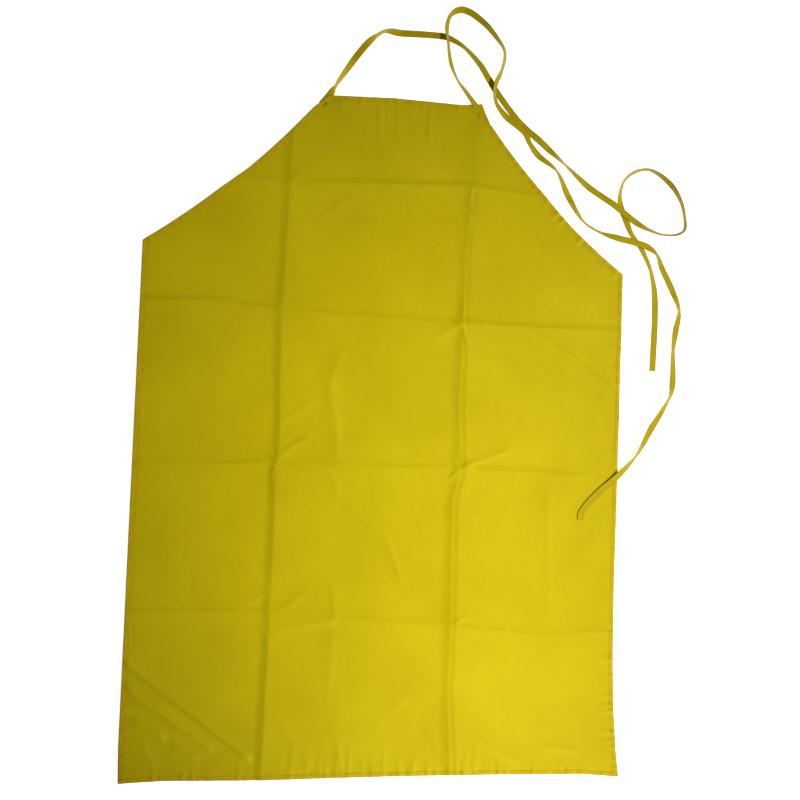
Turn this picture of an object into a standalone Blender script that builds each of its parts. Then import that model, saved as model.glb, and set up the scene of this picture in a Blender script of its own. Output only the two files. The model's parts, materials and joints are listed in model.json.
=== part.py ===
"""Thin bib apron with a lead-vinyl core and two neck ties, lying open with its front face up.

X runs across the apron, Y runs from the bottom hem towards the bib, and Z is up through its layers.
The origin is under the middle of the apron, on the surface that it lies on.
"""

import math

import bmesh
import bpy
from mathutils import Matrix, Vector

# Outline of the apron, in metres.
SKIRT_WIDTH = 0.756
SKIRT_LENGTH = 0.792
BIB_WIDTH = 0.244
BIB_RISE = 0.251
ARMHOLE_SAG = 0.014
ARMHOLE_STEPS = 12
APRON_LENGTH = SKIRT_LENGTH + BIB_RISE
HALF_LENGTH = APRON_LENGTH / 2

# Layers, from the lower face up. Touching layers keep a gap.
GAP = 0.0003
COVER = 0.0004
PLY = 0.0004
BACK_TOP = COVER
INNER_PLY_LOW = BACK_TOP + GAP
OUTER_PLY_LOW = INNER_PLY_LOW + PLY + GAP
FRONT_LOW = OUTER_PLY_LOW + PLY + GAP
FRONT_TOP = FRONT_LOW + COVER
RIM_LOW = BACK_TOP + GAP
RIM_WALL = 0.0012
CORE_INSET = 0.005

# The crease on which the left panel folds over the front.
FOLD_X = -0.172
FOLD_GAP = 0.0005
FOLD_AXIS_Z = 0.0060
POCKET_OVERSHOOT = 0.0004

# Sewing thread: one row round the hem and a tack over each tie's sewn-in end.
THREAD = 0.0004
SEAM_INSET = 0.007
SEAM_END = 0.0015
THREAD_Z = FRONT_TOP + GAP + THREAD / 2
TACK_TURNS = 4
TACK_PITCH = 0.0022
TACK_HALF_WIDTH = 0.0024
TACK_OFFSET = 0.0042

# Neck ties: flat tapes folded from the cover's cloth.
TAPE_WIDTH = 0.0105
TAPE_THICKNESS = 0.0008
TAPE_FLOOR_GAP = 0.0001
TAPE_STEP = 0.0180
ROOT_LENGTH = 0.018
ROOT_INSET = RIM_WALL + GAP + TAPE_WIDTH / 2
ROOT_SLACK = 0.0005
SLOT_REACH = 0.020
SLOT_LOW = 0.00055
SLOT_HIGH = 0.00195

# Each tie's route: millimetres across from the middle and up from the bottom hem, the tape's roll about
# its own length in degrees, and how far it is lifted by what lies under it, in millimetres.
LEFT_TIE_ROUTE = (
    (-127.3, 1024.5, 0, 0.75),
    (-116.5, 1038.9, 0, 0.75),
    (-109.6, 1048.2, 0, 0.65),
    (-101, 1062, 70, 0),
    (-73, 1107, 0, 0),
    (-45, 1139, 65, 0),
    (-31, 1148, 76, 0),
    (-8, 1149, 0, 0),
    (62, 1152, 0, 0),
    (79, 1147, 12, 0),
    (98, 1136, 60, 0),
    (124, 1112, 20, 0),
    (138, 1092, 0, 0),
    (158, 1064, 0, 0),
    (188, 1029, 0, 0),
    (209, 1011, 0, 0),
    (223, 1000, 42, 0),
    (240, 987, 0, 0),
    (267, 964, 78, 0),
    (308, 932, 0, 0),
    (335, 916, 0, 0),
    (352, 906, 0, 1.6),
    (390, 880, 0, 1.6),
    (412, 869, 65, 0),
    (438, 862, 82, 0),
    (463, 864, 72, 0),
    (475, 873, 82, 0),
    (475, 893, 75, 0),
    (467, 921, 40, 0),
    (448, 947, 45, 0),
    (416, 966, 72, 0),
    (392, 963, 78, 0),
    (371, 947, 72, 0),
    (363, 922, 50, 0),
    (366, 903, 0, 0),
    (377, 877, 0, 0),
    (384, 860, 0, 1.6),
    (404, 833, 0, 1.6),
    (419, 800, 60, 0),
    (428, 752, 0, 0),
    (426, 639, 0, 0),
)
RIGHT_TIE_ROUTE = (
    (127.3, 1024.5, 0, 0.75),
    (116.5, 1038.9, 0, 0.75),
    (109.6, 1048.2, 0, 0.65),
    (98, 1069, 50, 0),
    (87, 1083, 80, 0),
    (76, 1108, 55, 0),
    (70, 1138, 70, 1.6),
    (67, 1166, 62, 1.6),
    (74, 1188, 50, 0),
    (94, 1198, 40, 0),
    (125, 1184, 0, 0),
    (150, 1158, 40, 0),
    (163, 1136, 70, 0),
    (159, 1106, 40, 0.6),
    (150, 1084, 35, 1.6),
    (148, 1065, 60, 1.6),
    (153, 1049, 72, 1.6),
    (169, 1032, 15, 1.6),
    (188, 1019, 0, 1.6),
    (202, 1008, 0, 1.6),
    (208, 994, 72, 0.3),
    (224, 975, 0, 0),
    (255, 951, 75, 0),
    (276, 913, 0, 0),
    (302, 873, 70, 0),
    (332, 857, 60, 0),
    (362, 850, 0, 0),
    (411, 840, 0, 0),
    (428, 829, 78, 0),
    (439, 807, 45, 0),
    (458, 771, 0, 0),
    (469, 739, 78, 0),
    (465, 707, 20, 0),
    (460, 675, 72, 0),
    (461, 620, 10, 0),
    (454, 595, 68, 0),
    (426, 546, 20, 0),
    (397, 499, 66, 3.7),
    (366, 465, 60, 3.7),
    (335, 438, 78, 2.9),
    (311, 410, 60, 2.9),
    (309, 397, 66, 2.9),
)

# Name, base colour, roughness.
COVER_CLOTH = ("cover_cloth", (0.56, 0.44, 0.006), 0.45)
BACK_CLOTH = ("back_cloth", (0.50, 0.39, 0.008), 0.55)
LEAD_VINYL = ("lead_vinyl", (0.060, 0.062, 0.068), 0.60)
TIE_TAPE = ("tie_tape", (0.45, 0.31, 0.006), 0.60)
SEWING_THREAD = ("sewing_thread", (0.50, 0.32, 0.010), 0.60)


def clear_scene():
    """Remove every object that the file starts with."""
    for obj in list(bpy.data.objects):
        bpy.data.objects.remove(obj, do_unlink=True)


def make_collection(name):
    """A new collection under the scene's own."""
    collection = bpy.data.collections.new(name)
    bpy.context.scene.collection.children.link(collection)
    return collection


def make_material(finish):
    """A plain Principled material, made once for each finish."""
    name, color, roughness = finish
    if name in bpy.data.materials:
        return bpy.data.materials[name]
    material = bpy.data.materials.new(name)
    material.use_nodes = True
    shader = material.node_tree.nodes["Principled BSDF"]
    shader.inputs["Base Color"].default_value = (*color, 1.0)
    shader.inputs["Roughness"].default_value = roughness
    shader.inputs["Metallic"].default_value = 0.0
    return material


# Outlines. Each is a list of 2D vectors, counter-clockwise, in metres.

def arc(start, end, sag, steps):
    """Points from start to end on an arc that bows by sag to the left of the straight line."""
    chord = end - start
    radius = (chord.length ** 2 / 4 + sag ** 2) / (2 * sag)
    half_angle = math.asin(chord.length / (2 * radius))
    along = chord.normalized()
    bow = Vector((-along.y, along.x))
    middle = (start + end) / 2
    points = []
    for step in range(steps + 1):
        angle = half_angle * (2 * step / steps - 1)
        rise = radius * (math.cos(angle) - math.cos(half_angle))
        points.append(middle + along * radius * math.sin(angle) + bow * rise)
    return points


def armhole(side):
    """The right (side 1) or left (side -1) armhole edge, from the waist up to the bib."""
    waist = Vector((side * SKIRT_WIDTH / 2, SKIRT_LENGTH - HALF_LENGTH))
    bib = Vector((side * BIB_WIDTH / 2, HALF_LENGTH))
    return arc(waist, bib, side * ARMHOLE_SAG, ARMHOLE_STEPS)


def apron_outline():
    """The apron's edge, from the bottom left corner round to the left waist."""
    bottom = [Vector((side * SKIRT_WIDTH / 2, -HALF_LENGTH)) for side in (-1, 1)]
    return bottom + armhole(1) + armhole(-1)[::-1]


def inset(points, distance):
    """The outline moved inwards by distance, with mitred corners."""
    moved = []
    for index, point in enumerate(points):
        before = (point - points[index - 1]).normalized()
        after = (points[(index + 1) % len(points)] - point).normalized()
        inward = Vector((-before.y - after.y, before.x + after.x)).normalized()
        moved.append(point + inward * distance / inward.dot(Vector((-after.y, after.x))))
    return moved


def keep_side(points, limit, side):
    """The part of an outline right (side 1) or left (side -1) of the line x = limit."""
    kept = []
    for index, point in enumerate(points):
        previous = points[index - 1]
        if (point.x > limit) != (previous.x > limit):
            kept.append(previous.lerp(point, (limit - previous.x) / (point.x - previous.x)))
        if (point.x - limit) * side > 0:
            kept.append(point)
    return kept


# Solids.

def flat_piece(name, outline, low, high, finish, collection):
    """A flat piece of the given outline between two heights."""
    curve = bpy.data.curves.new(name, "CURVE")
    curve.dimensions = "2D"
    curve.fill_mode = "BOTH"
    curve.extrude = (high - low) / 2
    spline = curve.splines.new("POLY")
    spline.points.add(len(outline) - 1)
    for spot, point in zip(spline.points, outline):
        spot.co = (point.x, point.y, 0.0, 1.0)
    spline.use_cyclic_u = True
    curve.materials.append(make_material(finish))
    piece = bpy.data.objects.new(name, curve)
    piece.location.z = (low + high) / 2
    collection.objects.link(piece)
    return piece


def as_mesh(piece):
    """Replace a curve object by a closed mesh object of the same name and place."""
    bpy.context.view_layer.update()
    depsgraph = bpy.context.evaluated_depsgraph_get()
    mesh = bpy.data.meshes.new_from_object(piece.evaluated_get(depsgraph))
    bm = bmesh.new()
    bm.from_mesh(mesh)
    bmesh.ops.remove_doubles(bm, verts=bm.verts, dist=0.00001)
    bm.to_mesh(mesh)
    bm.free()
    name = piece.name
    collection = piece.users_collection[0]
    place = piece.matrix_world.copy()
    bpy.data.objects.remove(piece, do_unlink=True)
    solid = bpy.data.objects.new(name, mesh)
    solid.matrix_world = place
    collection.objects.link(solid)
    return solid


def cut(piece, cutter):
    """Take the cutter's shape out of the piece."""
    modifier = piece.modifiers.new(cutter.name, "BOOLEAN")
    modifier.operation = "DIFFERENCE"
    modifier.solver = "EXACT"
    modifier.object = cutter


def hide_cutter(cutter):
    """Show a cutter as wires only."""
    cutter.hide_render = True
    cutter.display_type = "WIRE"
    return cutter


def root_line(side):
    """Inner end and direction of the stretch of tie that is sewn in at a bib corner."""
    edge = armhole(side)
    corner = edge[-1]
    along = (corner - edge[-2]).normalized()
    inward = Vector((-side * along.y, side * along.x))
    return corner + inward * ROOT_INSET - along * ROOT_LENGTH, along


def root_slot(side, name, cutters):
    """Cutter for the way out of a tie's sewn-in end: through the core's corner and the rim."""
    start, along = root_line(side)
    low_end = -ROOT_SLACK
    high_end = ROOT_LENGTH + SLOT_REACH
    bm = bmesh.new()
    bmesh.ops.create_cube(bm, size=1.0)
    size = (high_end - low_end, TAPE_WIDTH + 2 * ROOT_SLACK, SLOT_HIGH - SLOT_LOW)
    bmesh.ops.scale(bm, vec=size, verts=bm.verts)
    mesh = bpy.data.meshes.new(name)
    bm.to_mesh(mesh)
    bm.free()
    cutter = bpy.data.objects.new(name, mesh)
    middle = start + along * (low_end + high_end) / 2
    cutter.matrix_world = Matrix.Translation((middle.x, middle.y, (SLOT_LOW + SLOT_HIGH) / 2)) @ \
        Matrix.Rotation(math.atan2(along.y, along.x), 4, "Z")
    cutters.objects.link(cutter)
    return hide_cutter(cutter)


def thread_piece(name, points, collection):
    """A run of sewing thread through the points, lying on the front cover."""
    curve = bpy.data.curves.new(name, "CURVE")
    curve.dimensions = "3D"
    curve.bevel_depth = THREAD / 2
    curve.bevel_resolution = 0
    curve.use_fill_caps = True
    spline = curve.splines.new("POLY")
    spline.points.add(len(points) - 1)
    for spot, point in zip(spline.points, points):
        spot.co = (point.x, point.y, THREAD_Z, 1.0)
    curve.materials.append(make_material(SEWING_THREAD))
    piece = bpy.data.objects.new(name, curve)
    collection.objects.link(piece)
    return piece


# Layers of the apron.

def make_panel(label, side, slots, parts, cutters):
    """The four layers on one side of the fold: right of it (side 1) or left of it (side -1)."""
    edge = apron_outline()
    cut_x = FOLD_X + side * FOLD_GAP
    pocket_x = FOLD_X + side * (FOLD_GAP - POCKET_OVERSHOOT)

    def layer(name, outline, low, high, finish, limit=cut_x, collection=parts):
        return flat_piece(name, keep_side(outline, limit, side), low, high, finish, collection)

    back = layer("back_cover" + label, edge, 0.0, BACK_TOP, BACK_CLOTH)
    core = inset(edge, CORE_INSET)
    plies = [
        layer("core_inner_ply" + label, core, INNER_PLY_LOW, INNER_PLY_LOW + PLY, LEAD_VINYL),
        layer("core_outer_ply" + label, core, OUTER_PLY_LOW, OUTER_PLY_LOW + PLY, LEAD_VINYL),
    ]
    front = as_mesh(layer("front_cover" + label, edge, RIM_LOW, FRONT_TOP, COVER_CLOTH))
    pocket_outline = inset(edge, RIM_WALL)
    pocket = as_mesh(layer("pocket" + label, pocket_outline, 0.0, FRONT_LOW, COVER_CLOTH,
                           pocket_x, cutters))
    cut(front, hide_cutter(pocket))
    if slots:
        plies = [as_mesh(ply) for ply in plies]
        for slot in slots:
            for piece in plies + [front]:
                cut(piece, slot)
    return [back, front] + plies


def seam_paths():
    """The hem's rows of thread, by name: those of the main body and those of the left panel."""
    row = inset(apron_outline(), SEAM_INSET)
    bottom_left, bottom_right = row[:2]
    right_arm = row[2:3 + ARMHOLE_STEPS]
    left_arm = row[3 + ARMHOLE_STEPS:]
    upper_arm = [point for point in left_arm if point.x > FOLD_X]
    lower_arm = [point for point in left_arm if point.x < FOLD_X]
    before, after = upper_arm[-1], lower_arm[0]
    fold_point = before.lerp(after, (FOLD_X - before.x) / (after.x - before.x))
    fold_bottom = Vector((FOLD_X, bottom_left.y))
    main_rows = {
        "top_hem_seam": [right_arm[-1], left_arm[0]],
        "right_armhole_seam": right_arm,
        "right_side_seam": [bottom_right, right_arm[0]],
        "bottom_hem_seam": [fold_bottom, bottom_right],
        "left_armhole_seam": upper_arm + [fold_point],
    }
    left_rows = {
        "left_armhole_seam_left_panel": [fold_point] + lower_arm,
        "left_side_seam": [left_arm[-1], bottom_left],
        "bottom_hem_seam_left_panel": [bottom_left, fold_bottom],
    }
    return main_rows, left_rows


def trim_ends(points):
    """A row whose two ends are drawn back, so that rows that meet at a corner stay apart."""
    first = (points[1] - points[0]).normalized()
    last = (points[-1] - points[-2]).normalized()
    return [points[0] + first * SEAM_END] + points[1:-1] + [points[-1] - last * SEAM_END]


def tack_path(side):
    """A zigzag of thread across the sewn-in end of a tie, inside the hem's seam."""
    start, along = root_line(side)
    across = Vector((-along.y, along.x)) * side
    points = []
    for turn in range(2 * TACK_TURNS + 1):
        middle = start + along * turn * TACK_PITCH / 2 + across * TACK_OFFSET
        points.append(middle + across * TACK_HALF_WIDTH * (1 if turn % 2 else -1))
    return points


# Neck ties.

def smooth_route(route):
    """Places, rolls and lifts along a smooth curve through the route's points."""
    knots = [Vector((x / 1000, y / 1000 - HALF_LENGTH, 0.0)) for x, y, _, _ in route]
    spans = [(second - first).length for first, second in zip(knots, knots[1:])]
    slopes = [(knots[1] - knots[0]) / spans[0]]
    for index in range(1, len(spans)):
        slopes.append((knots[index + 1] - knots[index - 1]) / (spans[index - 1] + spans[index]))
    slopes.append((knots[-1] - knots[-2]) / spans[-1])
    samples = []
    for index, width in enumerate(spans):
        steps = max(1, round(width / TAPE_STEP))
        for step in range(steps + (index == len(spans) - 1)):
            t = step / steps
            place = (
                knots[index] * (2 * t ** 3 - 3 * t ** 2 + 1)
                + slopes[index] * width * (t ** 3 - 2 * t ** 2 + t)
                + knots[index + 1] * (3 * t ** 2 - 2 * t ** 3)
                + slopes[index + 1] * width * (t ** 3 - t ** 2)
            )
            roll = route[index][2] * (1 - t) + route[index + 1][2] * t
            lift = route[index][3] * (1 - t) + route[index + 1][3] * t
            samples.append((place, math.radians(roll), lift / 1000))
    return samples


def tape_height(roll, lift):
    """Height of the tape's middle when its lowest edge rests on what is under it."""
    half = abs(math.sin(roll)) * TAPE_WIDTH / 2 + abs(math.cos(roll)) * TAPE_THICKNESS / 2
    return half + TAPE_FLOOR_GAP + lift


def make_tie(name, route, parts):
    """A tape that follows the route, turned at each step by its roll."""
    curve = bpy.data.curves.new(name, "CURVE")
    curve.dimensions = "3D"
    curve.twist_mode = "Z_UP"
    curve.extrude = TAPE_WIDTH / 2
    samples = smooth_route(route)
    spline = curve.splines.new("POLY")
    spline.points.add(len(samples) - 1)
    for spot, (place, roll, lift) in zip(spline.points, samples):
        spot.co = (place.x, place.y, tape_height(roll, lift), 1.0)
        spot.tilt = math.pi / 2 - roll
    curve.materials.append(make_material(TIE_TAPE))
    strip = bpy.data.objects.new(name, curve)
    parts.objects.link(strip)
    tape = as_mesh(strip)
    # The twisted strip is cut into triangles first, so that both faces of the tape bend alike.
    split = tape.modifiers.new("split", "TRIANGULATE")
    split.quad_method = "FIXED"
    cloth = tape.modifiers.new("cloth", "SOLIDIFY")
    cloth.thickness = TAPE_THICKNESS
    cloth.offset = 0.0
    return tape


def hang_on_axis(pieces, parts):
    """Parent the left panel's pieces to an empty on the fold's axis."""
    axis = bpy.data.objects.new("left_fold_axis", None)
    axis.location = (FOLD_X, 0.0, FOLD_AXIS_Z)
    parts.objects.link(axis)
    bpy.context.view_layer.update()
    for piece in pieces:
        piece.parent = axis
        piece.matrix_parent_inverse = axis.matrix_world.inverted()


def main():
    clear_scene()
    parts = make_collection("lead_apron")
    cutters = make_collection("cutters")
    slots = [root_slot(side, name, cutters) for side, name in ((-1, "left_slot"), (1, "right_slot"))]
    make_panel("", 1, slots, parts, cutters)
    left_pieces = make_panel("_left_panel", -1, [], parts, cutters)
    main_seams, left_seams = seam_paths()
    for name, points in main_seams.items():
        thread_piece(name, trim_ends(points), parts)
    for name, points in left_seams.items():
        left_pieces.append(thread_piece(name, trim_ends(points), parts))
    thread_piece("left_tie_tack", tack_path(-1), parts)
    thread_piece("right_tie_tack", tack_path(1), parts)
    make_tie("left_neck_tie", LEFT_TIE_ROUTE, parts)
    make_tie("right_neck_tie", RIGHT_TIE_ROUTE, parts)
    hang_on_axis(left_pieces, parts)


main()
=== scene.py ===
import json
import math

import bpy
import numpy as np
from mathutils import Euler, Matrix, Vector
from mathutils.geometry import delaunay_2d_cdt


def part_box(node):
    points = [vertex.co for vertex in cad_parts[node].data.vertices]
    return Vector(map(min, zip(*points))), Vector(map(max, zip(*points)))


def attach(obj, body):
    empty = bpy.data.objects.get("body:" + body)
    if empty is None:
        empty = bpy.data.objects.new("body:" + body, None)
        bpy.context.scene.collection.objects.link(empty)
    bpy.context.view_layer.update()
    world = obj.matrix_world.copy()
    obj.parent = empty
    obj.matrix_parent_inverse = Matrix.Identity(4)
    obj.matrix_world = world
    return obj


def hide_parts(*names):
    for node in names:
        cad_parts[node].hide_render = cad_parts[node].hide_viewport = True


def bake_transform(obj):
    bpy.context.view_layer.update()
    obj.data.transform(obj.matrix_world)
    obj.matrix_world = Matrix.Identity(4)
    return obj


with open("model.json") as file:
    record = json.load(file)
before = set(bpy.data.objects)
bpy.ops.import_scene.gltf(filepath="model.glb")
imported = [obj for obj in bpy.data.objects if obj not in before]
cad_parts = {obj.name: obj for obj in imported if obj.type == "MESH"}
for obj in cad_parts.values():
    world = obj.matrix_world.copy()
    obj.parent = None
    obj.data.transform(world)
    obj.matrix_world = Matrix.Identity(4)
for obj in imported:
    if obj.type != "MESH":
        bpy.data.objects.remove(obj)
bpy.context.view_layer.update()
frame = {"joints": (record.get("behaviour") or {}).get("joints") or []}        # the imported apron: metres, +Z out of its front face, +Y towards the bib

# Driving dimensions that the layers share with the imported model, in metres.
HALF_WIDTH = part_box("front_cover")[1].x
HALF_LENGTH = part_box("front_cover")[1].y
LAYER_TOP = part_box("front_cover")[1].z
FOLD_X, _, FOLD_AXIS_Z = frame["joints"][0]["pos_m"]
SKIRT_LENGTH = 0.792
BIB_RISE = 0.251
BIB_HALF_WIDTH = 0.122
ARMHOLE_SAG = 0.014
ARMHOLE_STEPS = 24
SEAM_INSET = 0.007

# Cloth of the covers and its turned hem.
CLOTH = 0.00025
CLOTH_LOW = 0.00003
EDGE_RADIUS = 0.0011
EDGE_STEPS = 6
WELD_REACH = 0.00001
HEM_WIDTH = 0.0088
BACK_INSET = 0.0030
CORE_INSET = 0.0050
BORDER_STEP = 0.0025
PLY_BORDER_STEP = 0.0060
COARSE_STEP = 0.0600
GROOVE_WIDTH = 0.0007
FRONT_GROOVE = 0.00032
BACK_GROOVE = 0.00022
HEM_RINGS = (0.0016, 0.0024, 0.0036, 0.0048, 0.0056, 0.0062, 0.0066, 0.0070, 0.0074, 0.0078,
             0.0084, 0.0092, 0.0104, 0.0122, 0.0145)
BACK_RINGS = (0.0050, 0.0070, 0.0084, 0.0092, 0.0098, 0.0104, 0.0122, 0.0145)
PLY_RINGS = (0.0100, 0.0150)
# Spacing of each cloth's inner vertices: plain grid, along the creases, across them, and how far the
# crease lines spread to each side.
FRONT_SPACING = (0.0031, 0.0033, 0.0015, 0.0150)
BACK_SPACING = (0.0065, 0.0050, 0.0025, 0.0120)
PLY_SPACING = (0.0110, 0.0080, 0.0025, 0.0120)
RING_GAP = 0.0012

# What the turned hem adds to the front's height, and where the back steps up over it.
HEM_RAISE = 0.00012
HEM_FADE = 0.0012
BACK_STEP = CLOTH + 0.00004
BACK_STEP_FADE = 0.0014

# Camera of the photograph's view.
CAMERA_PLACE = (-0.3069, -0.0686, 1.6758)
CAMERA_TURN = (4.072, -10.805, 2.830)
CAMERA_LENS = 50.0
CAMERA_SENSOR = 36.0
FLOOR_HALF_SIDE = 6.0

# Sewing thread.
THREAD_RADIUS = 0.00021
STITCH_LENGTH = 0.0027
STITCH_PITCH = 0.0033
STITCH_SINK = 0.00022

# Neck ties: flat tapes folded from cloth and sewn along one edge.
TAPE_WIDTH = 0.0105
TAPE_THICKNESS = 0.0008
TAPE_FLOOR_GAP = 0.0001
TAPE_STEP = 0.0022
TAPE_SEAM = 0.0034
TAPE_SEAM_HEIGHT = 0.00036
TAPE_FOLD_START = 0.0040
TAPE_FOLD_FADE = 0.0010
LEFT_TIE_EXIT = (-0.1118, 0.5222, 0.0013)
RIGHT_TIE_EXIT = (0.1190, 0.5222, 0.0013)
ROOT_NOTCH_WIDTH = 0.017
ROOT_NOTCH_LENGTH = 0.026
TACK_BARS = 22
TACK_PITCH = 0.00038
TACK_HALF_WIDTH = 0.0024
SLOT_HALF_WIDTH = 0.0058
SLOT_REACH = 0.012

# Each tie's route: millimetres across from the middle and up from the bottom hem, the tape's roll about
# its own length in degrees, and how far it is lifted by what lies under it, in millimetres.
LEFT_TIE_ROUTE = (
    (-126.0, 1023.5, 0, 0.75), (-115.2, 1037.9, 0, 0.75), (-111.2, 1043.6, 8, 0.65), (-107.2, 1050.0, 72, 0),
    (-101, 1062, 60, 0), (-88, 1083, 35, 0), (-73, 1107, 0, 0), (-58, 1127, 15, 0),
    (-45, 1139, 70, 0), (-31, 1148, 82, 0), (-8, 1149, 10, 0), (62, 1152, 0, 0),
    (79, 1147, -14, 0), (98, 1136, -34, 0), (124, 1112, -12, 0), (138, 1092, 0, 0),
    (158, 1064, 0, 0), (188, 1029, 0, 0), (209, 1011, 0, 0), (223, 1000, 20, 0),
    (240, 987, 0, 0), (267, 964, -52, 0), (308, 932, 0, 0), (335, 916, 0, 0),
    (352, 906, 0, 1.6), (390, 880, 0, 1.6), (412, 869, -40, 0), (438, 862, -60, 0),
    (463, 864, -64, 0), (475, 873, -86, 0), (475, 893, -96, 0), (467, 921, -88, 0),
    (448, 947, -64, 0), (416, 966, -86, 0), (392, 963, -72, 0), (371, 947, -62, 0),
    (363, 922, -42, 0), (366, 903, 0, 0), (377, 877, 0, 0), (384, 860, -22, 0),
    (404, 833, -20, 0), (419, 800, -36, 0), (428, 752, 0, 0), (426, 639, 0, 0),
)
RIGHT_TIE_ROUTE = (
    (130.0, 1026.0, 0, 0.75), (122.5, 1038.0, 0, 0.75), (119.3, 1043.2, 6, 0.65),
    (113.5, 1051, 24, 0), (99, 1068.5, 36, 0), (87, 1083, 54, 0),
    (76, 1108, 38, 0), (70, 1138, 54, 1.6), (67, 1166, 42, 1.6),
    (74, 1188, 60, 0), (94, 1198, 20, 0), (125, 1184, 0, 0),
    (150, 1158, -26, 0), (163, 1136, -48, 0), (159, 1106, -58, 0.6),
    (150, 1084, -40, 1.6), (148, 1065, -50, 1.6), (153, 1049, -34, 1.6),
    (169, 1032, 0, 1.6), (188, 1019, 0, 1.6), (202, 1008, 0, 1.6),
    (208, 994, -26, 0.3), (224, 975, 0, 0), (255, 951, -50, 0),
    (276, 913, 0, 0), (302, 873, -50, 0), (332, 857, -50, 0),
    (362, 850, 0, 4.6), (386, 846, 0, 4.8), (411, 840, 0, 4.0),
    (428, 829, -44, 0), (439, 807, -8, 0), (458, 771, 0, 0),
    (469, 739, -42, 0), (465, 707, 0, 0), (460, 675, -38, 0),
    (461, 620, 0, 0), (454, 595, -52, 0), (426, 546, 0, 0),
    (397, 499, -54, 3.7), (366, 465, -8, 3.3), (335, 438, -1, 2.85),
    (311, 410, -1, 2.75), (309, 397, -1, 2.75),
)

# How the laid cloth departs from its cut shape: millimetres up from the bottom hem, and millimetres
# to the right, for the left and right edges; millimetres across, and up, for the bottom and top edges.
LEFT_EDGE_SHIFT = ((0, -1), (50, -3), (790, -6), (880, -5), (915, 0), (1020, 1), (1043, 5))
RIGHT_EDGE_SHIFT = ((0, 4), (40, -1), (100, -6), (180, -9), (300, -10), (480, -8), (860, -6), (915, -1),
                    (1015, -1), (1043, 7))
BOTTOM_EDGE_SHIFT = ((-378, 0), (-320, 3), (-200, 2), (0, 4.5), (160, 5.5), (320, 4), (378, -1))
TOP_EDGE_SHIFT = ((-122, -4.5), (-70, -2), (-20, 1), (90, 1), (122, 6))
EDGE_SHIFT_FADE = 0.060

# Creases where the apron was folded away, as places in millimetres across from the middle and up from
# the bottom hem, each with the crease's height in millimetres.
LEFT_CREASE = ((-175, 19, 2.9), (-173, 160, 2.9), (-172, 250, 2.7), (-172, 450, 3.0), (-169, 500, 2.8),
               (-174, 694, 2.7), (-171, 800, 2.4), (-169, 965, 1.5))
RIGHT_CREASE = ((110, 16, 2.5), (102, 131, 2.7), (103, 259, 2.6), (100, 415, 2.7), (111, 473, 2.4),
                (106, 574, 2.4), (108, 694, 2.4), (109, 821, 1.8), (115, 868, 1.2), (120, 1019, 1.0))
BIB_CREASE = ((-150, 898, 1.33), (1, 908, 2.09), (114, 914, 1.9), (150, 912, 1.33), (221, 909, 0.95))
UPPER_CREASE = ((-383, 701, 1.44), (-281, 708, 1.8), (-176, 700, 1.62), (-90, 699, 0.9), (60, 697, 0.9),
                (105, 697, 1.62), (235, 697, 1.44), (370, 701, 1.08))
MIDDLE_CREASE = ((-378, 460, 0.54), (-200, 466, 0.9), (-60, 469, 0.54), (112, 471, 1.08), (242, 468, 1.26),
                 (367, 465, 0.9))
LOWER_CREASE = ((-381, 246, 0.9), (-171, 247, 0.9), (-20, 237, 0.45), (104, 229, 0.72), (249, 218, 0.45),
                (367, 224, 0.54))
UPRIGHT_CREASES = (LEFT_CREASE, RIGHT_CREASE)
LEVEL_CREASES = (BIB_CREASE, UPPER_CREASE, MIDDLE_CREASE, LOWER_CREASE)
CREASE_RAMP = 0.0135
CREASE_FALL = 0.0700
TWIN_STEP = 0.0105
TWIN_RAMP = 0.0080
TWIN_SHARE = 0.33
LEVEL_RAMP = 0.0100
LEVEL_FALL = 0.0140

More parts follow.
